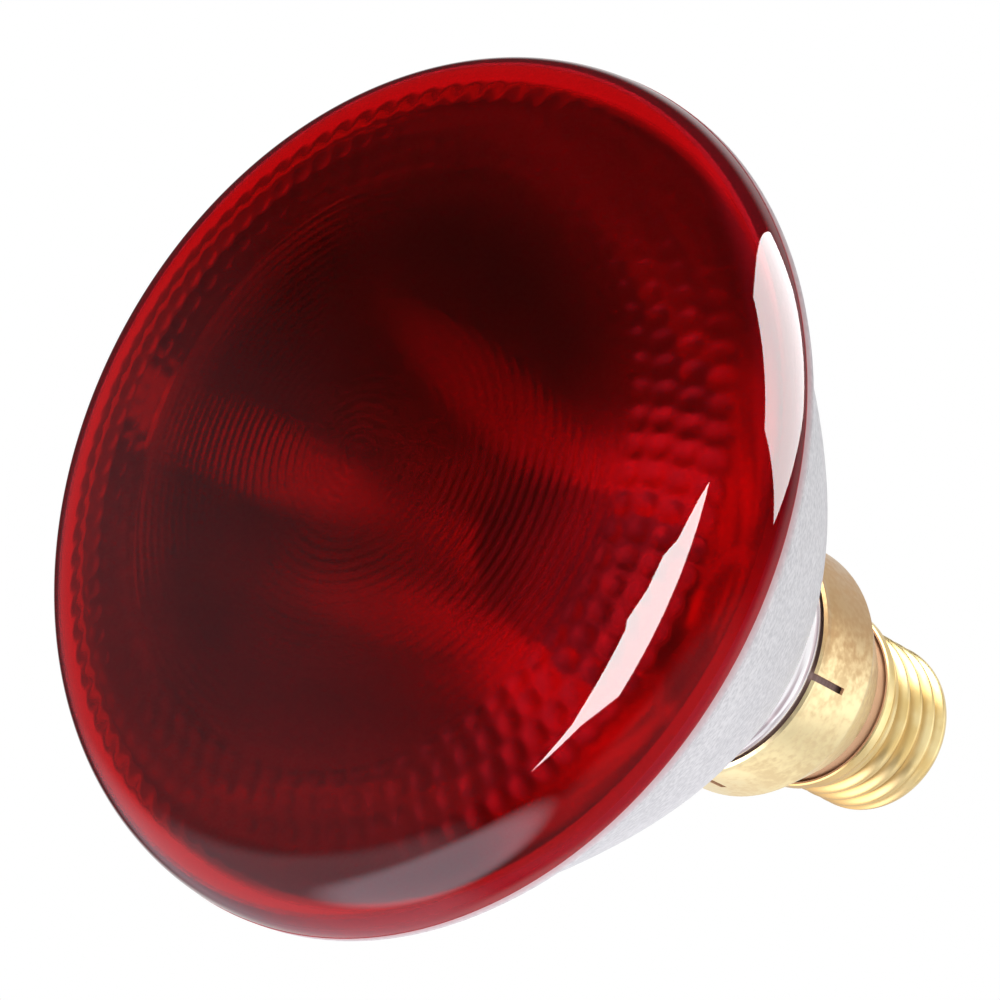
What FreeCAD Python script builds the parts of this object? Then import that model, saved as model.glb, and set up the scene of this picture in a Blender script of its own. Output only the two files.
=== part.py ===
import FreeCAD, Part
import math
import os

import Sketcher

# Reflector heat lamp with a red pressed lens and a skirted screw cap.
# Millimetres. Z is the lamp's axis, from the end contact at zero up to the lens.
SIZES = {
    # Lens
    "lamp_length": 136.0,
    "lens_diameter": 121.0,
    "lens_rise": 15.4,
    "lens_shoulder_radius": 11.0,
    "lens_wall": 4.0,
    "lens_edge": 0.6,
    # Screw shell
    "thread_diameter": 26.3,
    "shell_wall": 0.5,
    "shell_end_height": 5.5,
    "shell_length": 20.2,
    "shell_rim_band": 2.0,
    "shell_flare": 1.15,
    "shell_flare_length": 2.4,
    "shell_end_radius": 2.4,
    "shell_lip": 3.75,
    # Skirt
    "cap_height": 51.0,
    "skirt_diameter": 39.0,
    "skirt_wall": 0.5,
    "skirt_corner_radius": 1.4,
    "shoulder_height": 10.1,
    "shoulder_overhang": 0.1,
    "recess_height": 2.3,
    "collar_step": 0.65,
    "slot_length": 7.6,
    "slot_width": 0.7,
    "slot_count": 5,
    # Reflector
    "flange_step": 0.6,
    "flange_thickness": 1.2,
    "flange_taper": 1.6,
    "flange_overhang": 1.8,
    "rim_wall": 3.1,
    "mirror_lift": 3.0,
    "mirror_flat_diameter": 8.0,
    "bowl_wall": 3.1,
    "floor_wall": 4.5,
    "neck_gap": 0.7,
    "neck_wall": 3.5,
    "neck_blend_radius": 3.0,
    "tip_diameter": 6.0,
    "tip_length": 7.0,
    "tip_radius": 2.0,
    # Insulator and end contact
    "plug_length": 3.8,
    "insulator_margin": 0.7,
    "insulator_edge": 0.9,
    "contact_diameter": 10.0,
    "contact_thickness": 0.9,
    "contact_eyelet_diameter": 3.0,
    # Wires and filament
    "post_spacing": 17.0,
    "post_diameter": 1.8,
    "post_overshoot": 1.2,
    "post_hole_diameter": 5.2,
    "ferrule_diameter": 8.4,
    "ferrule_height": 4.0,
    "ferrule_wall": 0.5,
    "filament_diameter": 2.6,
    "filament_length": 12.0,
    "filament_leg_diameter": 0.7,
    "lead_diameter": 0.9,
    "lead_bend_radius": 4.0,
    "lead_turn_height": 33.0,
    "lead_centre_height": 15.0,
    "lead_weld_height": 17.0,
    "lead_weld_radius": 2.0,
    # Clearances
    "seat_clearance": 0.2,
    "wire_clearance": 0.05,
}

doc = FreeCAD.newDocument("heat_lamp")
sheet = doc.addObject("Spreadsheet::Sheet", "Sizes")
for row, (alias, number) in enumerate(SIZES.items(), start=1):
    sheet.set(f"A{row}", alias)
    sheet.set(f"B{row}", str(number))
    sheet.setAlias(f"B{row}", alias)
doc.recompute()


class Size:
    """A number together with the sheet formula that gives it."""

    def __init__(self, value, formula):
        self.value = value
        self.formula = formula

    def __add__(self, other):
        return Size(self.value + number_of(other), f"({self.formula} + {formula_of(other)})")

    def __sub__(self, other):
        return Size(self.value - number_of(other), f"({self.formula} - {formula_of(other)})")

    def __mul__(self, other):
        return Size(self.value * number_of(other), f"({self.formula} * {formula_of(other)})")

    def __truediv__(self, other):
        return Size(self.value / number_of(other), f"({self.formula} / {formula_of(other)})")

    def root(self):
        return Size(math.sqrt(self.value), f"sqrt({self.formula})")


def number_of(item):
    return item.value if isinstance(item, Size) else item


def formula_of(item):
    return item.formula if isinstance(item, Size) else str(item)


def size(alias):
    return Size(sheet.get(alias), f"Sizes.{alias}")


# Sketching: every corner is tied to the sheet by its radius and its height
def line(x, z, rounding=None):
    return {"kind": "line", "x": x, "z": z, "rounding": rounding, "hold": "xz"}


def arc(x, z, centre_x, centre_z, hold):
    return {"kind": "arc", "x": x, "z": z, "centre": (centre_x, centre_z), "rounding": None, "hold": hold}


def parabola(x, z, vertex, focal):
    return {"kind": "parabola", "x": x, "z": z, "vertex": vertex, "focal": focal,
            "rounding": None, "hold": "xz"}


def spot(x, z):
    return FreeCAD.Vector(number_of(x), number_of(z), 0)


def tie(sketch, constraint, length):
    index = sketch.addConstraint(constraint)
    if isinstance(length, Size):
        sketch.setExpression(f"Constraints[{index}]", length.formula)


def place(sketch, edge, end, x=None, z=None):
    for kind, axis, length in (("DistanceX", -2, x), ("DistanceY", -1, z)):
        if length is None:
            continue
        if number_of(length) == 0:
            sketch.addConstraint(Sketcher.Constraint("PointOnObject", edge, end, axis))
        else:
            tie(sketch, Sketcher.Constraint(kind, -1, 1, edge, end, number_of(length)), length)


def add_arc(sketch, start, finish, step):
    centre = spot(*step["centre"])
    first, last = start - centre, finish - centre
    backwards = first.cross(last).z < 0
    if backwards:
        first, last = last, first
    angles = [math.atan2(arm.y, arm.x) for arm in (first, last)]
    if angles[1] < angles[0]:
        angles[1] += 2 * math.pi
    circle = Part.Circle(centre, FreeCAD.Vector(0, 0, 1), first.Length)
    edge = sketch.addGeometry(Part.ArcOfCircle(circle, *angles))
    place(sketch, edge, 3, *step["centre"])
    return (edge, 2, 1) if backwards else (edge, 1, 2)


def add_parabola(sketch, before, step):
    """A parabola about the axis is a curve of second degree: its middle pole is where its tangents meet."""
    pole_x = (before["x"] + step["x"]) / 2
    pole_z = step["vertex"] + before["x"] * step["x"] / (step["focal"] * 4)
    poles = [spot(before["x"], before["z"]), spot(pole_x, pole_z), spot(step["x"], step["z"])]
    curve = Part.BSplineCurve()
    curve.buildFromPolesMultsKnots(poles, [3, 3], [0.0, 1.0], False, 2)
    edge = sketch.addGeometry(curve)
    sketch.exposeInternalGeometry(edge)
    middle_pole = edge + 2
    place(sketch, middle_pole, 3, pole_x, pole_z)
    return edge, 1, 2


def add_edge(sketch, before, step):
    """Adds one edge of an outline and returns it with the numbers of its two ends."""
    start, finish = spot(before["x"], before["z"]), spot(step["x"], step["z"])
    if step["kind"] == "arc":
        return add_arc(sketch, start, finish, step)
    if step["kind"] == "parabola":
        return add_parabola(sketch, before, step)
    return sketch.addGeometry(Part.LineSegment(start, finish)), 1, 2


def draw(sketch, steps, closed=True):
    """Draws an outline: the first step is its start, and each later one is the edge to its corner."""
    ring = steps[1:] + steps[:1] if closed else steps[1:]
    edges = []
    for before, step in zip(steps, ring):
        edges.append(add_edge(sketch, before, step))
    for (edge, _, end), (following, begin, _) in zip(edges, edges[1:] + edges[:1] * closed):
        sketch.addConstraint(Sketcher.Constraint("Coincident", edge, end, following, begin))
    if not closed:
        place(sketch, edges[0][0], edges[0][1], steps[0]["x"], steps[0]["z"])
    for (edge, _, end), step in zip(edges, ring):
        place(sketch, edge, end, *(step[way] if way in step["hold"] else None for way in "xz"))
    for (edge, _, end), step in zip(edges, ring):
        if step["rounding"] is not None:
            sketch.fillet(edge, end, step["rounding"].value, True, True)
            round_edge = sketch.GeometryCount - 2
            radius = Sketcher.Constraint("Radius", round_edge, step["rounding"].value)
            tie(sketch, radius, step["rounding"])


def new_body(label):
    body = doc.addObject("PartDesign::Body", label)
    body.Label = label
    return body


def new_sketch(body, name, role="XZ_Plane"):
    sketch = body.newObject("Sketcher::SketchObject", name)
    plane = next(feature for feature in body.Origin.OriginFeatures if feature.Role == role)
    sketch.AttachmentSupport = (plane, [""])
    sketch.MapMode = "FlatFace"
    return sketch


def revolve(body, kind, name, steps):
    sketch = new_sketch(body, name + "_section")
    draw(sketch, steps)
    turn = body.newObject(kind, name)
    turn.Profile = sketch
    turn.ReferenceAxis = (sketch, ["V_Axis"])
    turn.Angle = 360
    doc.recompute()
    return turn


def turned(label, steps):
    body = new_body(label)
    revolve(body, "PartDesign::Revolution", label + "_turning", steps)
    return body


# Lens: a dome that runs tangent into the rounded shoulder, with a wall of even thickness
rim = size("lens_diameter") / 2
rim_height = size("lamp_length") - size("lens_rise")
seal = rim_height - size("lens_edge")
lens_wall = size("lens_wall")
shoulder = size("lens_shoulder_radius")
shoulder_centre = rim - shoulder
dome_rise = size("lens_rise")
dome_radius = ((shoulder_centre * shoulder_centre + dome_rise * dome_rise - shoulder * shoulder)
               / ((dome_rise - shoulder) * 2))
dome_centre = size("lamp_length") - dome_radius
lens_turn = shoulder_centre / (dome_radius - shoulder)
lens_lift = (rim_height - dome_centre) / (dome_radius - shoulder)
inner_dome = dome_radius - lens_wall
lens = turned("lens", [
    arc(0, size("lamp_length") - lens_wall, 0, dome_centre, "x"),
    line(0, size("lamp_length")),
    arc(dome_radius * lens_turn, dome_centre + dome_radius * lens_lift, 0, dome_centre, "x"),
    arc(rim, rim_height, shoulder_centre, rim_height, "z"),
    line(rim, seal),
    line(rim - lens_wall, seal),
    line(rim - lens_wall, rim_height),
    arc(inner_dome * lens_turn, dome_centre + inner_dome * lens_lift, shoulder_centre, rim_height, "x"),
])

# Screw shell: a brass cup with a flared rim and its end turned in, as wide as the thread's crests
crest = size("thread_diameter") / 2
shell_wall = size("shell_wall")
bore = crest - shell_wall
shell_end = size("shell_end_height")
shell_top = shell_end + size("shell_length")
shell_rim = crest + size("shell_flare")
end_radius = size("shell_end_radius")
mouth = crest - size("shell_lip")
flare_top = shell_top - size("shell_rim_band")
flare_low = flare_top - size("shell_flare_length")
flare_lean = size("shell_flare") / size("shell_flare_length")
screw_shell = turned("screw_shell", [
    line(mouth, shell_end),
    line(crest, shell_end, end_radius),
    line(crest, flare_low),
    line(shell_rim, flare_top),
    line(shell_rim, shell_top),
    line(shell_rim - shell_wall, shell_top),
    line(shell_rim - shell_wall, flare_top),
    line(bore, flare_low),
    line(bore, shell_end + shell_wall, end_radius - shell_wall),
    line(mouth, shell_end + shell_wall),
])

# Skirt: a drawn sleeve with a tapered shoulder and a collar that seats in the shell's flare
skirt_radius = size("skirt_diameter") / 2
skirt_wall = size("skirt_wall")
fall = size("shoulder_height")
shoulder_low = shell_top + size("recess_height")
skirt_corner = shoulder_low + fall
shoulder_edge = shell_rim + size("shoulder_overhang")
collar = bore + size("collar_step")
collar_low = flare_low + size("collar_step") / flare_lean + size("seat_clearance")
lean = (skirt_radius - shoulder_edge) / fall
cone_shift = skirt_wall * (lean * lean + 1).root()
cone_inside = skirt_radius - cone_shift
skirt = turned("skirt", [
    line(skirt_radius, size("cap_height")),
    line(skirt_radius, skirt_corner, size("skirt_corner_radius")),
    line(shoulder_edge, shoulder_low),
    line(collar, shoulder_low),
    line(collar, collar_low),
    line(collar - skirt_wall, collar_low),
    line(collar - skirt_wall, shoulder_low + skirt_wall),
    line(cone_inside - (fall - skirt_wall) * lean, shoulder_low + skirt_wall),
    line(skirt_radius - skirt_wall, skirt_corner + (cone_shift - skirt_wall) / lean),
    line(skirt_radius - skirt_wall, size("cap_height")),
])

# Slits that let the skirt's front edge close on the glass neck
slit = new_sketch(skirt, "slit_outline")
slit_low = size("cap_height") - size("slot_length")
slit_high = size("cap_height") + skirt_wall
slit_half = size("slot_width") / 2
corners = [(-slit_half.value, slit_low), (slit_half.value, slit_low),
           (slit_half.value, slit_high), (-slit_half.value, slit_high)]
for start, finish in zip(corners, corners[1:] + corners[:1]):
    slit.addGeometry(Part.LineSegment(spot(*start), spot(*finish)))
for edge in range(4):
    slit.addConstraint(Sketcher.Constraint("Coincident", edge, 2, (edge + 1) % 4, 1))
for direction, edge in (("Vertical", 1), ("Horizontal", 2), ("Vertical", 3)):
    slit.addConstraint(Sketcher.Constraint(direction, edge))
slit.addConstraint(Sketcher.Constraint("Symmetric", 0, 1, 0, 2, -2))
tie(slit, Sketcher.Constraint("DistanceX", 0, 1, 0, 2, size("slot_width").value), size("slot_width"))
place(slit, 0, 1, z=slit_low)
place(slit, 2, 1, z=slit_high)
slit_cut = skirt.newObject("PartDesign::Pocket", "slit_cut")
slit_cut.Profile = slit
slit_cut.Type = "Length"
slit_cut.Reversed = True
slit_cut.setExpression("Length", size("skirt_diameter").formula)
doc.recompute()
slits = skirt.newObject("PartDesign::PolarPattern", "slits")
slits.Originals = [slit_cut]
slits.Axis = (slit, ["V_Axis"])
slits.setExpression("Occurrences", size("slot_count").formula)
skirt.Tip = slits

# Reflector: a parabolic bowl whose flange meets the lens and whose neck stands on the skirt's shoulder
mirror_vertex = size("cap_height") + size("mirror_lift")
bowl_rim = rim - size("flange_overhang")
mirror_rim = bowl_rim - size("rim_wall")
mirror_focal = mirror_rim * mirror_rim / ((seal - mirror_vertex) * 4)
focus = mirror_vertex + mirror_focal
mirror_flat = size("mirror_flat_diameter") / 2
mirror_low = mirror_vertex + mirror_flat * mirror_flat / (mirror_focal * 4)
bowl_vertex = mirror_vertex - size("bowl_wall")
bowl_focal = bowl_rim * bowl_rim / ((seal - bowl_vertex) * 4)
flange = rim - size("flange_step")
flange_low = seal - size("flange_thickness")
taper_low = flange_low - size("flange_taper")
taper_radius = ((taper_low - bowl_vertex) * bowl_focal * 4).root()
neck = skirt_radius - skirt_wall - size("neck_gap")
neck_top = bowl_vertex + neck * neck / (bowl_focal * 4)
neck_low = skirt_corner - (cone_inside - neck) / lean + size("seat_clearance")
neck_bore = neck - size("neck_wall")
floor_low = mirror_vertex - size("floor_wall")
tip = size("tip_diameter") / 2
tip_low = floor_low - size("tip_length")
reflector = turned("reflector", [
    line(0, mirror_low),
    line(mirror_flat, mirror_low),
    parabola(mirror_rim, seal, mirror_vertex, mirror_focal),
    line(flange, seal),
    line(flange, flange_low),
    line(taper_radius, taper_low),
    parabola(neck, neck_top, bowl_vertex, bowl_focal),
    line(neck, neck_low),
    line(neck_bore, neck_low),
    line(neck_bore, floor_low),
    line(tip, floor_low),
    line(tip, tip_low, size("tip_radius")),
    line(0, tip_low),
])


def is_neck_corner(edge):
    heights = [corner.Z for corner in edge.Vertexes]
    return max(abs(height - neck_top.value) for height in heights) < SAME_HEIGHT


SAME_HEIGHT = 1e-3
bowl = reflector.Tip
blend = reflector.newObject("PartDesign::Fillet", "neck_blend")
blend.Base = (bowl, [f"Edge{index}" for index, edge in enumerate(bowl.Shape.Edges, 1)
                     if is_neck_corner(edge)])
blend.setExpression("Radius", size("neck_blend_radius").formula)
doc.recompute()

# Two holes in the floor, for the posts
post_place = size("post_spacing") / 2
hole = new_sketch(reflector, "post_hole_outline", "XY_Plane")
ring = Part.Circle(spot(post_place, 0), FreeCAD.Vector(0, 0, 1), size("post_hole_diameter").value / 2)
hole.addGeometry(ring)
place(hole, 0, 3, post_place, 0)
tie(hole, Sketcher.Constraint("Diameter", 0, size("post_hole_diameter").value), size("post_hole_diameter"))
hole_cut = reflector.newObject("PartDesign::Pocket", "post_hole")
hole_cut.Profile = hole
hole_cut.Type = "ThroughAll"
hole_cut.Reversed = True
doc.recompute()
holes = reflector.newObject("PartDesign::PolarPattern", "post_holes")
holes.Originals = [hole_cut]
holes.Axis = (hole, ["N_Axis"])
holes.Occurrences = 2
reflector.Tip = holes

# Insulator: a glass plug that fills the shell's end and carries the contact plate
plug = bore - size("seat_clearance")
plug_mouth = mouth - size("seat_clearance")
plug_seat = shell_end + shell_wall + size("seat_clearance")
plate = size("contact_thickness")
plate_radius = size("contact_diameter") / 2
eyelet = size("contact_eyelet_diameter") / 2
lead_radius = size("lead_diameter") / 2
lead_hole = lead_radius + size("wire_clearance")
insulator_tip = plate_radius + size("insulator_margin")
plug_chamfer = end_radius - shell_wall
plug_top = plug_seat + size("plug_length")
insulator = turned("insulator", [
    line(lead_hole, plate),
    line(insulator_tip, plate),
    line(insulator_tip, plate + size("insulator_edge")),
    line(plug_mouth, shell_end),
    line(plug_mouth, plug_seat),
    line(plug - plug_chamfer, plug_seat),
    line(plug, plug_seat + plug_chamfer),
    line(plug, plug_top),
    line(lead_hole, plug_top),
])

# End contact: a pressed plate with an eyelet, filled with solder
centre_contact = turned("centre_contact", [
    line(eyelet, 0),
    line(plate_radius, 0),
    line(plate_radius, plate),
    line(eyelet, plate),
])
contact_solder = doc.addObject("Part::Cylinder", "contact_solder")
contact_solder.setExpression("Radius", eyelet.formula)
contact_solder.setExpression("Height", plate.formula)

# Ferrules and posts: one pair on each side of the axis
ferrule_radius = size("ferrule_diameter") / 2
ferrule_wall = size("ferrule_wall")
ferrule_low = floor_low - size("ferrule_height")
post_radius = size("post_diameter") / 2
leg_hole = size("filament_leg_diameter") + size("wire_clearance") * 2


def make_ferrule(label):
    return turned(label, [
        line(0, ferrule_low),
        line(ferrule_radius, ferrule_low),
        line(ferrule_radius, floor_low),
        line(ferrule_radius - ferrule_wall, floor_low),
        line(ferrule_radius - ferrule_wall, ferrule_low + ferrule_wall),
        line(0, ferrule_low + ferrule_wall),
    ])


def make_post(label):
    post = turned(label, [
        line(0, ferrule_low + ferrule_wall),
        line(post_radius, ferrule_low + ferrule_wall),
        line(post_radius, focus + size("post_overshoot")),
        line(0, focus + size("post_overshoot")),
    ])
    eye = new_sketch(post, label + "_eye_outline", "YZ_Plane")
    eye.addGeometry(Part.Circle(spot(0, focus), FreeCAD.Vector(0, 0, 1), leg_hole.value / 2))
    place(eye, 0, 3, 0, focus)
    tie(eye, Sketcher.Constraint("Diameter", 0, leg_hole.value), leg_hole)
    eye_cut = post.newObject("PartDesign::Pocket", label + "_eye")
    eye_cut.Profile = eye
    eye_cut.Type = "ThroughAll"
    eye_cut.Midplane = True
    return post


# Leads: round wire from the ferrules down to the contact and to the shell
def make_lead(label, route):
    lead = new_body(label)
    path = new_sketch(lead, label + "_path")
    draw(path, route, closed=False)
    wire = new_sketch(lead, label + "_wire", "XY_Plane")
    wire.setExpression("AttachmentOffset.Base.z", ferrule_low.formula)
    wire.addGeometry(Part.Circle(spot(post_place, 0), FreeCAD.Vector(0, 0, 1), lead_radius.value))
    place(wire, 0, 3, post_place, 0)
    tie(wire, Sketcher.Constraint("Radius", 0, lead_radius.value), lead_radius)
    doc.recompute()
    pipe = lead.newObject("PartDesign::AdditivePipe", label + "_pipe")
    pipe.Profile = wire
    pipe.Spine = path
    return lead


lead_return = make_lead("lead_return", [
    line(post_place, ferrule_low),
    line(post_place, size("lead_weld_height"), size("lead_weld_radius")),
    line(bore - size("wire_clearance"), size("lead_weld_height")),
])
lead_live = make_lead("lead_live", [
    line(post_place, ferrule_low),
    line(post_place, size("lead_turn_height"), size("lead_bend_radius")),
    line(0, size("lead_centre_height"), size("lead_bend_radius")),
    line(0, plate),
])
half_turn = FreeCAD.Rotation(FreeCAD.Vector(0, 0, 1), 180)
lead_live.Placement = FreeCAD.Placement(FreeCAD.Vector(0, 0, 0), half_turn)

pairs = []
for side, label in ((1, "return"), (-1, "live")):
    for piece in (make_ferrule("ferrule_" + label), make_post("post_" + label)):
        piece.setExpression("Placement.Base.x", (post_place * side).formula)
        pairs.append(piece)

# Filament: the coil's outer form with its two legs, laid across the axis at the mirror's focus
leg = size("filament_leg_diameter") / 2
coil = size("filament_diameter") / 2
span = size("post_spacing") + size("post_diameter")
coil_start = (span - size("filament_length")) / 2
coil_end = (span + size("filament_length")) / 2
filament = turned("filament", [
    line(0, 0),
    line(leg, 0),
    line(leg, coil_start),
    line(coil, coil_start),
    line(coil, coil_end),
    line(leg, coil_end),
    line(leg, span),
    line(0, span),
])
across = FreeCAD.Rotation(FreeCAD.Vector(0, 1, 0), 90)
filament.Placement = FreeCAD.Placement(FreeCAD.Vector(0, 0, 0), across)
filament.setExpression("Placement.Base.x", (span / -2).formula)
filament.setExpression("Placement.Base.z", focus.formula)

# Checks, then one file for each piece
doc.recompute()
for item in doc.Objects:
    if {"Invalid", "Error"} & set(item.State):
        raise RuntimeError(f"{item.Label} failed: {item.State}")
pieces = [lens, reflector, skirt, screw_shell, insulator, centre_contact, contact_solder,
          *pairs, filament, lead_live, lead_return]
for piece in pieces:
    if piece.Shape.isNull() or not piece.Shape.isValid() or len(piece.Shape.Solids) != 1:
        raise RuntimeError(f"{piece.Label} is not one sound solid")
os.makedirs("parts", exist_ok=True)
for piece in pieces:
    piece.Shape.exportStep(os.path.join("parts", piece.Label + ".step"))
    print(f"{piece.Label}: {piece.Shape.Volume:.1f} cubic millimetres")
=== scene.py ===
import math

import bmesh
import bpy
from mathutils import Matrix, Vector


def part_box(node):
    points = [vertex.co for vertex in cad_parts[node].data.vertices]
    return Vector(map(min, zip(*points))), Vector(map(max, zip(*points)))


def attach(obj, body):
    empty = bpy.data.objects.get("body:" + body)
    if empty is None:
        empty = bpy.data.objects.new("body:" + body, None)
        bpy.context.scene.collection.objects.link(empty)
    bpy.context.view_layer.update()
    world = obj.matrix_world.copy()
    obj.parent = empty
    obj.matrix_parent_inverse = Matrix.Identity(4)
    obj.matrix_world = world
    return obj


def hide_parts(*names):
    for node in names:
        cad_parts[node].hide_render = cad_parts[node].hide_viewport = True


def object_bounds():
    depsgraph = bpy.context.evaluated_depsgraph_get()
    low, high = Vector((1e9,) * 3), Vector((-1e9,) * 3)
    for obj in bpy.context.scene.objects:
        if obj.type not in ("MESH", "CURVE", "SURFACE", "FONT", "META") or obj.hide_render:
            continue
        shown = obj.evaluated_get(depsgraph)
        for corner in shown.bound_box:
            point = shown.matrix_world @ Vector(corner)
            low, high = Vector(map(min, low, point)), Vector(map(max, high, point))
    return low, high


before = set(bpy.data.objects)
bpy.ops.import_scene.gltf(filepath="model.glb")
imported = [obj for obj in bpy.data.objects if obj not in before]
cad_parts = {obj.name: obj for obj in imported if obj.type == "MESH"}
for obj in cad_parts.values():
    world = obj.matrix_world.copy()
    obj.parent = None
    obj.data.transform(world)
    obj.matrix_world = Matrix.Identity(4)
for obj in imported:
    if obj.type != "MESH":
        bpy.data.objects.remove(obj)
solids_low, solids_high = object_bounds()


# Reflector
# A deep bowl of pressed glass with a parabola for its inside, coated there with bright aluminium and sprayed
# satin silver outside. Its neck stands in the brass skirt, and the lens is sealed to its flat, dull rim.
class Wire:
    """A socket of a material: arithmetic on wires adds Math nodes, and add brings any other node."""

    def __init__(self, tree, socket=None):
        self.tree = tree
        self.socket = socket

    def add(self, kind, settings, sockets, output=0):
        node = self.tree.nodes.new("ShaderNode" + kind)
        for setting, value in settings.items():
            setattr(node, setting, value)
        for name, value in sockets.items():
            if isinstance(value, Wire):
                self.tree.links.new(value.socket, node.inputs[name])
            else:
                node.inputs[name].default_value = value
        return Wire(self.tree, node.outputs[output])

    def math(self, operation, *values):
        return self.add("Math", {"operation": operation}, dict(enumerate(values)))

    def mix(self, low, high):
        return self.add("Mix", {"data_type": "RGBA"}, {0: self, 6: low, 7: high}, 2)

    def between(self, low, high):
        return self.add("MapRange", {"interpolation_type": "SMOOTHSTEP"},
                        {"Value": self, "From Min": low, "From Max": high})

    def axis(self, letter):
        return self.add("SeparateXYZ", {}, {0: self}, letter)

    def noise(self, scale, detail):
        return self.add("TexNoise", {}, {"Vector": self, "Scale": scale, "Detail": detail}, "Fac")

    def __add__(self, other):
        return self.math("ADD", self, other)

    def __radd__(self, other):
        return self.math("ADD", other, self)

    def __sub__(self, other):
        return self.math("SUBTRACT", self, other)

    def __rsub__(self, other):
        return self.math("SUBTRACT", other, self)

    def __mul__(self, other):
        return self.math("MULTIPLY", self, other)

    def __rmul__(self, other):
        return self.math("MULTIPLY", other, self)


def new_finish(name, **constants):
    """A material with its plain values, the place on a piece to start nodes from, and a way to feed it."""
    material = bpy.data.materials.new(name)
    material.use_nodes = True
    shader = material.node_tree.nodes["Principled BSDF"]
    for socket, value in constants.items():
        shader.inputs[socket.replace("_", " ").title().replace("Ior", "IOR")].default_value = value
    place = Wire(material.node_tree).add("TexCoord", {}, {}, "Object")

    def feed(**wires):
        for socket, wire in wires.items():
            place.tree.links.new(wire.socket, shader.inputs[socket.replace("_", " ").title()])

    return material, place, feed


def spin_section(shape, section, steps, share=1):
    """Turns a line of (radius, height) points round the lamp's axis, all the way or for a share of a turn."""
    corners = [shape.verts.new((radius, 0, height)) for radius, height in section]
    edges = [shape.edges.new(pair) for pair in zip(corners, corners[1:])]
    bmesh.ops.spin(shape, geom=corners + edges, cent=(0, 0, 0), axis=(0, 0, 1),
                   angle=2 * math.pi * share, steps=round(steps * share), use_merge=share == 1)


def close_shape(shape):
    bmesh.ops.remove_doubles(shape, verts=shape.verts, dist=1e-6)
    bmesh.ops.recalc_face_normals(shape, faces=shape.faces)


def add_piece(name, shape, finishes, slot, *nodes):
    """Makes the mesh an object that rides on the lamp, shows its finishes and stands for CAD nodes."""
    mesh = bpy.data.meshes.new(name)
    shape.to_mesh(mesh)
    shape.free()
    mesh.shade_smooth()
    mesh.set_sharp_from_angle(angle=math.radians(32))
    for finish in finishes:
        mesh.materials.append(finish)
    piece = bpy.data.objects.new(name, mesh)
    bpy.context.scene.collection.objects.link(piece)
    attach(piece, "root")
    if nodes:
        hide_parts(*nodes)
    return piece


reflector_low, reflector_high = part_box("reflector")
lens_low, lens_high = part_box("lens")
skirt_low, skirt_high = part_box("skirt")
seal = reflector_high.z
flange = reflector_high.x
flange_thickness = 0.0012
flange_taper = 0.0016
flange_low = seal - flange_thickness
taper_low = flange_low - flange_taper
lens_rim = lens_high.x
cap_edge = skirt_high.z
rim_step = 0.0018
bowl_wall = 0.0031
floor_wall = 0.0045
neck_wall = 0.0035
neck_gap = 0.0012
mirror_lift = 0.0030
bowl_rim = lens_rim - rim_step
mirror_rim = bowl_rim - bowl_wall
mirror_vertex = cap_edge + mirror_lift
bowl_vertex = mirror_vertex - bowl_wall
bowl_floor = mirror_vertex - floor_wall
neck = skirt_high.x - neck_gap
neck_bore = neck - neck_wall
neck_blend = 0.003
slimmer = 0.0015
weld = 0.00015
profile_steps = 28
bowl_steps = 192


def on_parabola(radius, vertex, rim):
    """The height of a parabola that rises from its vertex to the seal, where it has the rim's radius."""
    return vertex + (seal - vertex) * (radius / rim) ** 2


taper_radius = bowl_rim * math.sqrt((taper_low - bowl_vertex) / (seal - bowl_vertex))


def on_bowl(radius):
    """The height of the bowl's outside, which is slimmer toward the neck."""
    drawn_in = slimmer * (taper_radius - radius) / (taper_radius - neck)
    return on_parabola(radius, bowl_vertex, bowl_rim) + drawn_in


mirror_radii = [mirror_rim * step / profile_steps for step in range(profile_steps + 1)]
mirror_line = [(radius, on_parabola(radius, mirror_vertex, mirror_rim)) for radius in mirror_radii]
mirror_line += [(mirror_rim, seal + weld)]
bowl_start = neck + neck_blend * 0.55
bowl_radii = [taper_radius + (bowl_start - taper_radius) * step / profile_steps
              for step in range(profile_steps + 1)]
neck_corner = on_bowl(neck)
outside = [(mirror_rim, seal + weld), (flange, seal + weld), (flange, flange_low)]
outside += [(radius, on_bowl(radius)) for radius in bowl_radii]
outside += [(neck + neck_blend * outward, neck_corner - neck_blend * down)
            for outward, down in ((0.22, 0.1), (0.05, 0.35), (0, 0.7))]
outside += [(neck, reflector_low.z), (neck_bore, reflector_low.z), (neck_bore, bowl_floor), (0, bowl_floor)]
bowl = bmesh.new()
spin_section(bowl, mirror_line, bowl_steps)
for face in bowl.faces:
    face.material_index = 1
spin_section(bowl, outside, bowl_steps)
close_shape(bowl)
for face in bowl.faces:
    if face.calc_center_median().z > seal:
        face.material_index = 2

# The spray reaches a little way up the lens's edge
spray = 0.00004
spray_edge = lens_low.z + 0.0013
spray_steps = 256
spray_line = [(lens_rim + spray, lens_low.z), (lens_rim + spray, spray_edge),
              (lens_rim - spray, spray_edge + spray), (lens_rim - spray, lens_low.z),
              (lens_rim + spray, lens_low.z)]
spin_section(bowl, spray_line, spray_steps)
close_shape(bowl)

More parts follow.
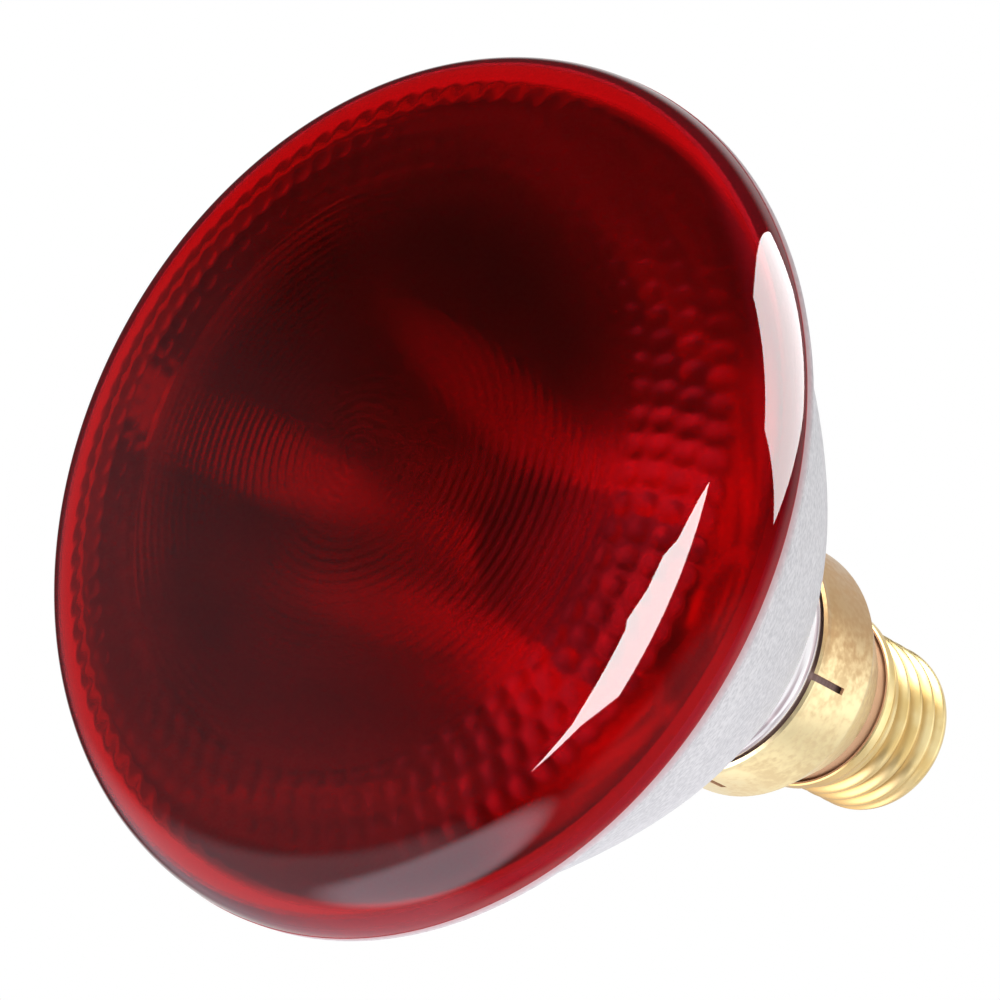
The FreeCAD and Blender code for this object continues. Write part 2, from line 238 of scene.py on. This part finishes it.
dark_silver = (0.56, 0.555, 0.58, 1)
pale_silver = (0.78, 0.77, 0.79, 1)
# The spray band is painted pink for red light that the lens throws on it, and its top edge dark red as
# painted shade.
red_lit_spray = (0.60, 0.40, 0.42, 1)
shaded_spray_edge = (0.22, 0.02, 0.025, 1)
# Below the bead the neck is painted streaky brown, partly cement and partly painted shade in the gap inside
# the skirt's edge.
dark_cement_shade = (0.40, 0.27, 0.26, 1)
pale_cement_shade = (0.56, 0.40, 0.38, 1)
shaded_neck = (0.48, 0.43, 0.45, 1)
cement_shade_top = cap_edge + 0.0008
cement_shade_fade = 0.0012
satin_silver, place, feed = new_finish("satin_silver", specular_ior_level=0.35, roughness=0.55)
rise = place.axis("Z")
speckle = place.noise(1400.0, 2.0)
cloud = place.noise(60.0, 3.0)
silver = (speckle * 0.75 + cloud * 0.25).between(0.3, 0.7).mix(dark_silver, pale_silver)
# Painted light and shade on the spray band: pink, with a dark red top edge.
spray_light_and_shade = rise.between(spray_edge - spray, spray_edge + 0.2 * spray).mix(red_lit_spray, shaded_spray_edge)
sprayed = rise.between(seal - flange_thickness / 2, spray_edge).mix(silver, spray_light_and_shade)
streak = place.add("Mapping", {}, {"Vector": place, "Scale": (60, 60, 1100)}).noise(1.0, 3.0)
# Cement and painted shade inside the skirt's edge; above it the bare neck is a darker grey, painted shade
# where the bowl meets the neck.
cement_and_shade = streak.between(0.3, 0.7).mix(dark_cement_shade, pale_cement_shade)
at_neck = rise.between(cement_shade_top, cement_shade_top + cement_shade_fade).mix(cement_and_shade, shaded_neck)
bare = 1 - (rise + cloud * 0.0012).between(neck_corner - 0.0002, neck_corner + 0.0014)
feed(base_color=bare.mix(sprayed, at_neck),
     normal=place.add("Bump", {}, {"Strength": 0.35, "Distance": 0.00008, "Height": speckle}))

misted_from, misted_full, misted_until, misted_end = 0.0065, 0.010, 0.0125, 0.0185
mirror_coat, place, feed = new_finish("mirror_coat", base_color=(0.9, 0.9, 0.92, 1))
rise = place.axis("Z")
haze = place.noise(90.0, 3.0)
mist = rise.between(mirror_vertex + misted_from, mirror_vertex + misted_full) * (
    1 - rise.between(mirror_vertex + misted_until, mirror_vertex + misted_end))
feed(roughness=0.03 + haze * 0.06, metallic=0.994 - haze * 0.008 - mist * 0.11)

dark_glaze = (0.038, 0.036, 0.038, 1)
grey_glaze = (0.064, 0.061, 0.064, 1)
lit_glaze = (0.19, 0.18, 0.19, 1)
# The seal is painted paler on its side toward -130 degrees: painted light.
lit_turn = math.radians(-130)
dull_seal, place, feed = new_finish("dull_seal", roughness=0.7)
toward_lit = place.axis("X") * math.cos(lit_turn) + place.axis("Y") * math.sin(lit_turn)
glaze = place.noise(300.0, 3.0).mix(dark_glaze, grey_glaze)
feed(base_color=toward_lit.between(0.55 * flange, 0.85 * flange).mix(glaze, lit_glaze))
add_piece("reflector_bowl", bowl, [satin_silver, mirror_coat, dull_seal], "silvered_glass", "reflector")


# Neck bead
# A rounded ring of bare glass on the reflector's neck, between the sprayed bowl and the skirt's front edge.
# It was shaped in the flame with the neck, and the spray leaves it clear and shiny.
bead_round = 0.0026
bead_turn = 62
bead_sunk = 0.0012
bead_inside = neck - 0.0008
bead_steps = 160


def arc(centre, radius, first, last, steps):
    """Points of a round stretch of a section, from one angle to another in degrees."""
    angles = [math.radians(first + (last - first) * step / steps) for step in range(steps + 1)]
    return [(centre[0] + radius * math.cos(angle), centre[1] + radius * math.sin(angle)) for angle in angles]


bead_line = arc((neck - bead_sunk, cap_edge + bead_round), bead_round, -bead_turn, bead_turn, 14)
bead_line += [(bead_inside, bead_line[-1][1]), (bead_inside, bead_line[0][1]), bead_line[0]]
bead = bmesh.new()
spin_section(bead, bead_line, bead_steps)
close_shape(bead)
# The streaks round the bead are painted highlights and painted shade.
bead_painted_shade = (0.40, 0.32, 0.34, 1)
bead_painted_highlight = (0.88, 0.86, 0.87, 1)
bare_glass, place, feed = new_finish("bare_glass", metallic=0.7, roughness=0.16)
streak = place.add("Mapping", {}, {"Vector": place, "Scale": (50, 50, 1300)}).noise(1.0, 3.0)
feed(base_color=streak.between(0.38, 0.60).mix(bead_painted_shade, bead_painted_highlight))
neck_bead = add_piece("neck_bead", bead, [bare_glass], "silvered_glass")


# Ferrules and posts
# Two metal thimbles sealed to the bowl's floor, each with a stiff wire post that carries one leg of
# the filament. They keep their CAD shapes.
def dress(node, finish):
    """Gives a CAD node that is shown as it is a better finish."""
    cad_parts[node].data.materials.clear()
    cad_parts[node].data.materials.append(finish)


support_metal, place, feed = new_finish("support_metal", metallic=1.0)
drawn = place.noise(700.0, 4.0)
feed(base_color=drawn.mix((0.42, 0.41, 0.40, 1), (0.66, 0.65, 0.63, 1)), roughness=0.25 + drawn * 0.25)
for node in ("ferrule_live", "ferrule_return", "post_live", "post_return"):
    dress(node, support_metal)


# Filament
# A close coil of tungsten wire across the mirror's focus, with a straight leg at each end that is held
# in a post's eye. It is wound on a mandrel, and both legs are the same wire.
filament_low, filament_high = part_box("filament")
filament_height = (filament_low.z + filament_high.z) / 2
coil_wire = 0.00035
coil_radius = (filament_high.z - filament_low.z) / 2 - coil_wire
coil_length = 0.012
coil_turns = 13
wire_sides = 8
leg_sides = 12
turn_steps = 24
leg_length = filament_high.x - coil_length / 2
coil = bmesh.new()
coil_start = Matrix.Translation((-coil_length / 2, coil_radius, filament_height))
wire_ring = bmesh.ops.create_circle(coil, segments=wire_sides, radius=coil_wire, matrix=coil_start)
loop = wire_ring["verts"] + list({edge for vertex in wire_ring["verts"] for edge in vertex.link_edges})
bmesh.ops.spin(coil, geom=loop, cent=(0, 0, filament_height), axis=(1, 0, 0),
               dvec=(coil_length / coil_turns / turn_steps, 0, 0),
               angle=2 * math.pi * coil_turns, steps=coil_turns * turn_steps)
for side in (-1, 1):
    leg_middle = Matrix.Translation((side * (coil_length + leg_length) / 2, 0, filament_height))
    bmesh.ops.create_cone(coil, cap_ends=True, segments=leg_sides, radius1=coil_wire, radius2=coil_wire,
                          depth=leg_length, matrix=leg_middle @ Matrix.Rotation(math.pi / 2, 4, "Y"))
bmesh.ops.holes_fill(coil, edges=[edge for edge in coil.edges if edge.is_boundary])
bmesh.ops.recalc_face_normals(coil, faces=coil.faces)
tungsten, place, feed = new_finish("tungsten", metallic=1.0)
grain = place.noise(2500.0, 2.0)
feed(base_color=grain.mix((0.16, 0.16, 0.17, 1), (0.34, 0.34, 0.35, 1)), roughness=0.35 + grain * 0.2)
add_piece("filament_coil", coil, [tungsten], "filament_metal", "filament")


# Lens
# A dome of ruby glass with a rounded shoulder, sealed to the bowl's rim. It is smooth outside; inside
# it is pressed with fine rings in the middle and rows of round dimples near the rim.
lens_wall = 0.004
shoulder = 0.011
shoulder_centre = lens_rim - shoulder
rim_height = lens_low.z + 0.0006
dome_rise = lens_high.z - rim_height
dome_radius = (shoulder_centre ** 2 + dome_rise ** 2 - shoulder ** 2) / (2 * (dome_rise - shoulder))
dome_inside = dome_radius - lens_wall
dome_middle = (0, lens_high.z - dome_radius)
shoulder_middle = (shoulder_centre, rim_height)
dome_turn = math.degrees(math.acos(shoulder_centre / (dome_radius - shoulder)))
stipple_start = 0.041
stipple_end = 0.0538
stipple_fade = 0.0016
stipple_turn = math.degrees(math.acos((stipple_start - stipple_fade) / dome_inside))
dimple_pitch = 0.0036
dimple_depth = 0.00013
dimple_steepness = 4.6
lens_steps = 640
sectors = 16
outer_line = arc(dome_middle, dome_radius, 90, dome_turn, 24)
outer_line += arc(shoulder_middle, shoulder, dome_turn, 0, 20)[1:]
outer_line += [(lens_rim, lens_low.z), (lens_rim - lens_wall, lens_low.z)]
inner_line = [(lens_rim - lens_wall, lens_low.z)]
inner_line += arc(shoulder_middle, shoulder - lens_wall, 0, dome_turn, 22)
inner_line += arc(dome_middle, dome_inside, dome_turn, stipple_turn, 24)[1:]
inner_line += arc(dome_middle, dome_inside, stipple_turn, 90, 20)[1:]
lens = bmesh.new()
spin_section(lens, inner_line, lens_steps, 1 / sectors)
for face in lens.faces:
    face.material_index = 1
spin_section(lens, outer_line, lens_steps, 1 / sectors)
bmesh.ops.spin(lens, geom=lens.verts[:] + lens.edges[:] + lens.faces[:], cent=(0, 0, 0), axis=(0, 0, 1),
               angle=2 * math.pi * (1 - 1 / sectors), steps=sectors - 1, use_duplicate=True)
close_shape(lens)
for vertex in {corner for face in lens.faces if face.material_index == 1 for corner in face.verts}:
    distance = vertex.co.xy.length
    row = math.floor(distance / dimple_pitch)
    dimples_in_row = round(2 * math.pi * (row + 0.5))
    turn = math.atan2(vertex.co.y, vertex.co.x) / (2 * math.pi) * dimples_in_row + row * 0.5
    off_middle = (turn % 1 - 0.5) ** 2 + (distance / dimple_pitch % 1 - 0.5) ** 2
    share = min(1, max(0, (distance - stipple_start) / stipple_fade + 0.5))
    share *= min(1, max(0, (stipple_end - distance) / stipple_fade + 0.5))
    vertex.co.z -= dimple_depth * share * max(0, 1 - dimple_steepness * off_middle)

clear_ruby = (0.52, 0.0003, 0.0014, 1)
glass_ior = 1.5
ruby_glass, place, feed = new_finish("ruby_glass", base_color=clear_ruby, roughness=0.0, ior=glass_ior,
                                     transmission_weight=1.0)
ripple = place.noise(45.0, 2.0)
feed(normal=place.add("Bump", {}, {"Strength": 0.06, "Distance": 0.0003, "Height": ripple}))

# The pressed face's tint is painted shade in the middle and painted light toward the rim.
shaded_ruby = (0.115, 0.0002, 0.0012, 1)
lit_ruby = (0.80, 0.001, 0.003, 1)
ring_pitch = 0.0014
ring_depth = 0.00002
pressed_ruby, place, feed = new_finish("pressed_ruby", ior=glass_ior, transmission_weight=1.0)
across = place.axis("X")
along = place.axis("Y")
distance = place.math("SQRT", across * across + along * along)
rings = place.math("SINE", distance * (2 * math.pi / ring_pitch)) * 0.5 + 0.5
in_stipple = distance.between(stipple_start - stipple_fade / 2, stipple_start + stipple_fade / 2)
relief = rings * (1 - in_stipple)
feed(base_color=distance.between(0.030, 0.047).mix(shaded_ruby, lit_ruby),
     roughness=0.13 + in_stipple * 0.03,
     normal=place.add("Bump", {}, {"Strength": 1.0, "Distance": ring_depth, "Height": relief}))
ruby_lens = add_piece("ruby_lens", lens, [ruby_glass, pressed_ruby], "ruby_glass", "lens")
ruby_lens.visible_shadow = False


# Skirt
# A sleeve drawn from thin sheet brass, slit five times so that its front edge closes on the glass neck,
# with a rounded corner, a tapered shoulder and a collar that seats in the screw shell's flared rim.
shell_low, shell_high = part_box("screw_shell")
sheet = 0.0005
skirt_radius = skirt_high.x
skirt_steps = 120
shoulder_low = shell_high.z + 0.0025
shoulder_edge = shell_high.x + 0.0001
collar = shell_high.x - 0.001
corner_height = shoulder_low + 0.0099
corner_round = 0.0014
front_chamfer = 0.0004
back_chamfer = 0.0002
crease = cap_edge - 0.0014
crease_half = 0.0003
crease_depth = 0.00006
slit_low = cap_edge - 0.0076
slit_count = 5
slit_width = 0.001
slit_lag = 1.5
lean = math.degrees(math.atan2(skirt_radius - shoulder_edge, corner_height - shoulder_low))
inset = corner_round * math.tan(math.radians(lean / 2))
skirt_line = [(skirt_radius - front_chamfer, cap_edge), (skirt_radius, cap_edge - front_chamfer),
              (skirt_radius, crease + crease_half), (skirt_radius - crease_depth, crease),
              (skirt_radius, crease - crease_half), (skirt_radius, slit_low)]
skirt_line += arc((skirt_radius - corner_round, corner_height + inset), corner_round, 0, -lean, 6)
skirt_line += [(shoulder_edge, shoulder_low + 0.0003), (shoulder_edge - 0.0004, shoulder_low),
               (collar, shoulder_low), (collar, skirt_low.z), (collar - sheet, skirt_low.z),
               (collar - sheet, shoulder_low + sheet), (shoulder_edge - sheet, shoulder_low + sheet),
               (skirt_radius - sheet, corner_height + sheet), (skirt_radius - sheet, slit_low),
               (skirt_radius - sheet, cap_edge - back_chamfer), (skirt_radius - front_chamfer, cap_edge)]
sleeve = bmesh.new()
spin_section(sleeve, skirt_line, skirt_steps)
close_shape(sleeve)
slit_faces = []
for face in sleeve.faces:
    middle = face.calc_center_median()
    turn = math.degrees(math.atan2(middle.y, middle.x)) + 90 + slit_lag
    off_slit = (turn + 180 / slit_count) % (360 / slit_count) - 180 / slit_count
    if abs(off_slit) < 90 / skirt_steps and middle.z > slit_low:
        slit_faces.append(face)
bmesh.ops.delete(sleeve, geom=slit_faces, context="FACES")
# Each slit's walls are closed with faces in the brown of oxide and painted shade.
for slit in range(slit_count):
    slit_turn = math.radians(360 * slit / slit_count - 90 - slit_lag)
    at_slit = skirt_radius * Vector((math.cos(slit_turn), math.sin(slit_turn)))
    walls = [edge for edge in sleeve.edges if edge.is_boundary
             and (edge.verts[0].co.xy - at_slit).length < 2 * slit_width]
    outer_walls = [edge for edge in walls
                   if min(corner.co.xy.length for corner in edge.verts) > skirt_radius - 0.2 * sheet]
    inner_walls = [edge for edge in walls
                   if max(corner.co.xy.length for corner in edge.verts) < skirt_radius - 0.8 * sheet]
    for wall in bmesh.ops.bridge_loops(sleeve, edges=outer_walls + inner_walls)["faces"]:
        wall.material_index = 1
bmesh.ops.holes_fill(sleeve, edges=[edge for edge in sleeve.edges if edge.is_boundary], sides=4)
bmesh.ops.recalc_face_normals(sleeve, faces=sleeve.faces)
# The collar below the shoulder takes the same brown of oxide and painted shade.
for face in sleeve.faces:
    if face.calc_center_median().z < shoulder_low:
        face.material_index = 1

clean_brass = (0.95, 0.79, 0.45, 1)
tarnished_shaded_brass = (0.55, 0.34, 0.16, 1)
skirt_brass, place, feed = new_finish("skirt_brass", metallic=1.0)
blotch = place.add("TexNoise", {}, {"Vector": place, "Scale": 110.0, "Detail": 4.0, "Roughness": 0.6}, "Fac")
fleck = place.noise(900.0, 3.0)
# The skirt is painted darker toward +X as shade, on top of the patina's blotches.
skirt_shaded_side = place.axis("X").between(-0.004, 0.012)
patina = (blotch * 0.6 + fleck * 0.4).between(0.38, 0.60)
tarnish_and_shade = skirt_shaded_side * 0.8 + (1 - patina) * 0.38
feed(base_color=tarnish_and_shade.between(0.0, 1.0).mix(clean_brass, tarnished_shaded_brass),
     roughness=0.30 + (1 - patina) * 0.16,
     normal=place.add("Bump", {}, {"Strength": 0.2, "Distance": 0.00006, "Height": fleck}))

# A brown that is partly oxide and partly painted shade, for the slits' walls, the collar in its groove and
# the inside of the shell's rim.
oxide_and_shade, place, feed = new_finish("oxide_and_shade")
bloom = place.noise(500.0, 3.0)
feed(base_color=bloom.mix((0.48, 0.27, 0.15, 1), (0.62, 0.37, 0.21, 1)), roughness=0.5 + bloom * 0.2)
cap_skirt = add_piece("cap_skirt", sleeve, [skirt_brass, oxide_and_shade], "cap_brass", "skirt")


# Screw shell
# A cup of sheet brass with a flared rim and a round thread rolled in its wall, turned in at its end
# round the insulator. The thread is right-handed and fades out at the rim and at the end.
shell_rim = shell_high.x
shell_top = shell_high.z - 0.0004
shell_end = shell_low.z - 0.0007
crest = shell_rim - 0.00115
thread_depth = 0.00105
thread_pitch = 0.003629
thread_fade = 0.0016
end_round = 0.0024
mouth = crest - 0.00375
flare_top = shell_top - 0.002
flare_low = flare_top - 0.0024
flare_ease = 0.0003
rim_round = 0.0002
thread_low = shell_end + end_round
thread_inside = crest - thread_depth - sheet
rolled_from = crest - 0.001
rim_inside = shell_rim - 0.00015
wall_steps = 96
shell_steps = 128
shell_line = [(mouth, shell_end)] + arc((crest - end_round, thread_low), end_round, -90, 0, 12)
shell_line += [(crest, thread_low + (flare_low - thread_low) * step / wall_steps)
               for step in range(1, wall_steps + 1)]
shell_line += [(shell_rim - flare_ease, flare_top - rim_round), (shell_rim, flare_top + rim_round),
               (shell_rim, shell_top - rim_round), (shell_rim - rim_round, shell_top),
               (shell_rim - sheet, shell_top), (shell_rim - sheet, flare_top), (thread_inside, flare_low),
               (thread_inside, shell_end + sheet), (mouth, shell_end + sheet), (mouth, shell_end)]
shell = bmesh.new()
spin_section(shell, shell_line, shell_steps)
close_shape(shell)
for vertex in shell.verts:
    radius = vertex.co.xy.length
    if radius < rolled_from or vertex.co.z > flare_top:
        continue
    turn = math.atan2(vertex.co.y, vertex.co.x) / (2 * math.pi)
    wave = 0.5 - 0.5 * math.cos(2 * math.pi * (vertex.co.z / thread_pitch - turn))
    share = min(1, max(0, (vertex.co.z - thread_low) / thread_fade))
    share *= min(1, max(0, (flare_low - vertex.co.z) / thread_fade))
    vertex.co.xy *= 1 - thread_depth * wave * share / radius
# The inside of the shell's rim takes the brown of oxide and painted shade.
for face in shell.faces:
    middle = face.calc_center_median()
    if middle.z > flare_top and middle.xy.length < rim_inside:
        face.material_index = 1

groove_shade_brown = (0.50, 0.29, 0.085, 1)
shell_shade_brass = (0.66, 0.43, 0.16, 1)
dull_brass = (0.80, 0.58, 0.23, 1)
bright_brass = (0.95, 0.78, 0.40, 1)
shell_brass, place, feed = new_finish("shell_brass", metallic=1.0)
smear = place.noise(160.0, 4.0)
across = place.axis("X")
along = place.axis("Y")
distance = place.math("SQRT", across * across + along * along)
# The thread's grooves are painted dark brown as shade.
groove = 1 - (distance + smear * 0.0003).between(crest - thread_depth * 0.8, crest - thread_depth * 0.2)
rubbed = smear.between(0.35, 0.65).mix(dull_brass, bright_brass)
# The shell is painted darker toward -X as shade.
shell_shaded_side = across.between(-0.0145, -0.002).mix(shell_shade_brass, rubbed)
feed(base_color=(groove * 0.75).mix(shell_shaded_side, groove_shade_brown), roughness=0.24 + smear * 0.16)
screw_shell = add_piece("screw_shell_rolled", shell, [shell_brass, oxide_and_shade], "cap_brass", "screw_shell")


# Insulator
# A plug of black glass that was moulded into the shell's turned-in end. It holds the end contact away
# from the shell, and its tapered tip stands out of the shell's mouth.
insulator_low, insulator_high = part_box("insulator")
contact_low, contact_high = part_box("centre_contact")
plug_tip = contact_high.x + 0.0007
plug_chamfer = 0.0004
plug_rise = 0.0009
plug_foot = mouth - 0.0009
plug_throat = mouth - 0.0002
plug_ledge = shell_end + 0.0007
plug_steps = 96
plug_line = [(0, insulator_low.z), (plug_tip - plug_chamfer, insulator_low.z),
             (plug_tip, insulator_low.z + plug_chamfer), (plug_tip, insulator_low.z + plug_rise),
             (plug_foot, shell_end - 0.0002), (plug_throat, shell_end), (plug_throat, plug_ledge),
             (insulator_high.x - 0.002, plug_ledge), (insulator_high.x - 0.0012, insulator_high.z),
             (0, insulator_high.z)]
plug = bmesh.new()
spin_section(plug, plug_line, plug_steps)
close_shape(plug)
black_glass, place, feed = new_finish("black_glass", coat_weight=0.4)
swirl = place.noise(240.0, 3.0)
feed(base_color=swirl.mix((0.010, 0.009, 0.012, 1), (0.035, 0.028, 0.036, 1)), roughness=0.08 + swirl * 0.15)
add_piece("insulator_plug", plug, [black_glass], "insulator_glass", "insulator")


# End contact
# A round plate pressed from brass sheet with a rolled edge and an eyelet in its middle, held on the
# insulator's tip by the solder.
solder_low, solder_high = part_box("contact_solder")
eyelet = solder_high.x
plate_radius = contact_high.x
plate_steps = 64
plate_line = [(eyelet, contact_high.z), (eyelet, contact_low.z + 0.0002), (eyelet + 0.0003, contact_low.z),
              (plate_radius - 0.0005, contact_low.z + 0.0001), (plate_radius, contact_low.z + 0.0005),
              (plate_radius, contact_high.z), (eyelet, contact_high.z)]
plate = bmesh.new()
spin_section(plate, plate_line, plate_steps)
close_shape(plate)
add_piece("contact_plate", plate, [shell_brass], "contact_brass", "centre_contact")


# Solder
# A drop of soft solder that fills the plate's eyelet round the live lead and swells out of it. It set
# with a frosted skin.
blob_steps = 40
blob_line = [(eyelet * share, solder_low.z - swell)
             for share, swell in ((0, 0.0003), (0.5, 0.00022), (0.85, 0.00005), (1, -0.0002))]
blob_line += [(eyelet, solder_high.z), (0, solder_high.z)]
blob = bmesh.new()
spin_section(blob, blob_line, blob_steps)
close_shape(blob)
dull_solder, place, feed = new_finish("dull_solder", metallic=1.0)
frost = place.noise(1800.0, 4.0)
feed(base_color=frost.mix((0.40, 0.40, 0.42, 1), (0.68, 0.68, 0.70, 1)), roughness=0.35 + frost * 0.25)
add_piece("solder_blob", blob, [dull_solder], "solder", "contact_solder")


# Leads
# Two drawn wires inside the cap. One runs from its ferrule to the end contact, where the solder holds it,
# and the other to the wall of the screw shell. They keep their CAD shapes.
for node in ("lead_live", "lead_return"):
    dress(node, support_metal)


# Table
# A plain white sheet under the lamp, flat white to the camera and through glass. It throws pale light up
# on the lamp, but takes no shadow and shows in no reflection.
table_size = 4
table_gap = 0.001
table = bmesh.new()
bmesh.ops.create_grid(table, x_segments=1, y_segments=1, size=table_size,
                      matrix=Matrix.Translation((0, 0, solids_low.z - table_gap)))
table_mesh = bpy.data.meshes.new("table")
table.to_mesh(table_mesh)
table.free()
white = (1, 1, 1, 1)
white_table = bpy.data.materials.new("white_table")
white_table.use_nodes = True
tree = white_table.node_tree
lit_table = tree.nodes["Principled BSDF"]
lit_table.inputs["Base Color"].default_value = (0.8, 0.8, 0.8, 1)
lit_table.inputs["Roughness"].default_value = 0.9
start = Wire(tree)
seen = start.add("LightPath", {}, {}, "Is Camera Ray")
for way in ("Is Glossy Ray", "Is Transmission Ray"):
    seen = start.math("MAXIMUM", seen, start.add("LightPath", {}, {}, way))
flat_white = start.add("Emission", {}, {"Color": white, "Strength": 1.0})
shown = start.add("MixShader", {}, {0: seen, 1: Wire(tree, lit_table.outputs[0]), 2: flat_white})
tree.links.new(shown.socket, tree.nodes["Material Output"].inputs["Surface"])
table_mesh.materials.append(white_table)
floor = bpy.data.objects.new("table", table_mesh)
floor.visible_glossy = False
floor.visible_shadow = False
bpy.context.scene.collection.objects.link(floor)


# Room
# A dim studio with a white backdrop for the camera, lighter on its -X side than on its +X side. Round grey
# cards hang in it for the glass and the metal to mirror, and others shine through the lens.
def grey(shade):
    return (shade, shade, shade, 1)


def toward_angles(azimuth, elevation, distance=1):
    """The point at a distance from the lamp toward the given angles in degrees."""
    turn = math.radians(azimuth)
    lift = math.radians(elevation)
    level = math.cos(lift)
    return distance * Vector((level * math.cos(turn), level * math.sin(turn), math.sin(lift)))


world = bpy.data.worlds.new("studio")
bpy.context.scene.world = world
world.use_nodes = True
tree = world.node_tree
start = Wire(tree)
toward = start.add("TexCoord", {}, {}, "Generated")
height = toward.axis("Z")
sideways = toward.axis("X").between(-0.6, 0.6)


def hang_card(room, azimuth, elevation, spread, shade):
    """A round card of one grey in the room, as many degrees across each way as its spread."""
    nearness = start.add("VectorMath", {"operation": "DOT_PRODUCT"},
                         {0: toward, 1: toward_angles(azimuth, elevation)}, "Value")
    card = nearness.between(math.cos(math.radians(spread * 1.25)), math.cos(math.radians(spread * 0.75)))
    return card.mix(room, (shade, shade * 0.97, shade * 1.1, 1))


mirrored = height.between(-0.65, -0.48).mix(sideways.mix(grey(0.85), grey(0.8)), grey(0.03))
for azimuth, elevation, spread, shade in ((125, 20, 40, 0.21), (150, 30, 26, 0.8), (150, -8, 36, 0.8),
                                          (-130, -6, 38, 0.2), (-178, 22, 24, 3.0)):
    mirrored = hang_card(mirrored, azimuth, elevation, spread, shade)
through_glass = height.between(0.0, 0.6).mix(grey(0.22), grey(0.06))
for azimuth, elevation, spread, shade in ((105, 51, 13, 1.6), (-10, 66, 11, 1.0), (178, 66, 9, 0.9)):
    through_glass = hang_card(through_glass, azimuth, elevation, spread, shade)
fill = sideways.mix(grey(0.78), grey(0.2))
in_glass = start.add("LightPath", {}, {}, "Is Transmission Ray").mix(mirrored, through_glass)
in_room = start.add("LightPath", {}, {}, "Is Diffuse Ray").mix(in_glass, fill)
room = start.add("Background", {}, {"Color": in_room, "Strength": 1.0})
backdrop = start.add("Background", {}, {"Color": white, "Strength": 1.0})
shown = start.add("MixShader", {}, {0: start.add("LightPath", {}, {}, "Is Camera Ray"), 1: room, 2: backdrop})
tree.links.new(shown.socket, tree.nodes["World Output"].inputs["Surface"])


# Softboxes
# Two flat white panels. The one overhead is mirrored as a long sliver on the dome, and the one at the side,
# which shines on the lens alone, as a patch on its shoulder.
def add_softbox(name, corners, brightness):
    """A flat panel that shines, its corners measured from the lens's foot, hidden from the camera."""
    panel = bmesh.new()
    panel.faces.new([panel.verts.new(corner) for corner in corners])
    mesh = bpy.data.meshes.new(name)
    panel.to_mesh(mesh)
    panel.free()
    glow = bpy.data.materials.new(name)
    glow.use_nodes = True
    shine = Wire(glow.node_tree).add("Emission", {}, {"Color": white, "Strength": brightness})
    glow.node_tree.links.new(shine.socket, glow.node_tree.nodes["Material Output"].inputs["Surface"])
    mesh.materials.append(glow)
    holder = bpy.data.objects.new(name, mesh)
    holder.location = (0, 0, lens_low.z)
    holder.visible_camera = False
    holder.visible_transmission = False
    holder.visible_shadow = False
    bpy.context.scene.collection.objects.link(holder)
    return holder


def light_only(holder, pieces):
    receivers = bpy.data.collections.new(holder.name + "_lights")
    for piece in pieces:
        receivers.objects.link(piece)
    holder.light_linking.receiver_collection = receivers


overhead_height = 1.0
overhead_corners = ((0.29, -0.24), (0.13, 0.06), (0.105, 0.235), (0.02, 0.275),
                    (-0.24, 0.05), (-0.41, 0.03), (-0.31, -0.10), (-0.32, -0.40))
add_softbox("overhead", [(across, along, overhead_height) for across, along in overhead_corners], 18.5)
side_distance = 0.9
side_corners = ((-4, -31), (-25, 17), (-54, 15), (-72, -18), (-44, -37), (-14, -37))
side = add_softbox("side", [toward_angles(*corner, side_distance) for corner in side_corners], 13.0)
side.visible_diffuse = False
light_only(side, [ruby_lens])


# Cap lamps
# Four round soft lamps for the cap, which the bowl keeps out of the panels' light. They shine on the brass
# and on the bare bead of the neck.
lamp_distance = 0.6


def add_lamp(name, azimuth, elevation, width, brightness):
    """A round lamp on the cap alone, as bright as a card of that many times white."""
    lamp = bpy.data.lights.new(name, "AREA")
    lamp.shape = "DISK"
    lamp.size = width
    lamp.energy = brightness * math.pi * math.pi * width ** 2 / 4
    from_cap = toward_angles(azimuth, elevation, lamp_distance)
    holder = bpy.data.objects.new(name, lamp)
    holder.location = Vector((0, 0, corner_height)) + from_cap
    holder.rotation_euler = (-from_cap).to_track_quat("-Z", "Y").to_euler()
    holder.visible_camera = False
    holder.visible_transmission = False
    light_only(holder, [cap_skirt, screw_shell, neck_bead])
    bpy.context.scene.collection.objects.link(holder)


add_lamp("cap_key", -15, 0, 0.55, 3.5)
add_lamp("cap_front", -80, -8, 1.4, 0.85)
add_lamp("cap_left", -170, -5, 1.3, 0.5)
add_lamp("cap_top", 10, 42, 1.0, 3.0)


# Camera
# It looks down on the lens from the front, about half a metre away and with a long lens, and is rolled so
# that the cap points to the lower right.
turn_round = math.radians(-9.5)
tilt = math.radians(42.216)
roll = math.radians(-61.81)
rim_from_camera = Vector((-0.010647, 0.001443, -0.512910))
facing = Matrix.Rotation(turn_round, 3, "Z") @ Matrix.Rotation(tilt, 3, "X") @ Matrix.Rotation(roll, 3, "Z")
camera_lens = bpy.data.cameras.new("camera")
camera_lens.lens = 140.59
camera_lens.sensor_width = 36
camera = bpy.data.objects.new("camera", camera_lens)
eye = Vector((0, 0, rim_height)) - facing @ rim_from_camera
camera.matrix_world = Matrix.Translation(eye) @ facing.to_4x4()
bpy.context.scene.collection.objects.link(camera)
bpy.context.scene.camera = camera
bpy.context.scene.view_settings.view_transform = "Standard"
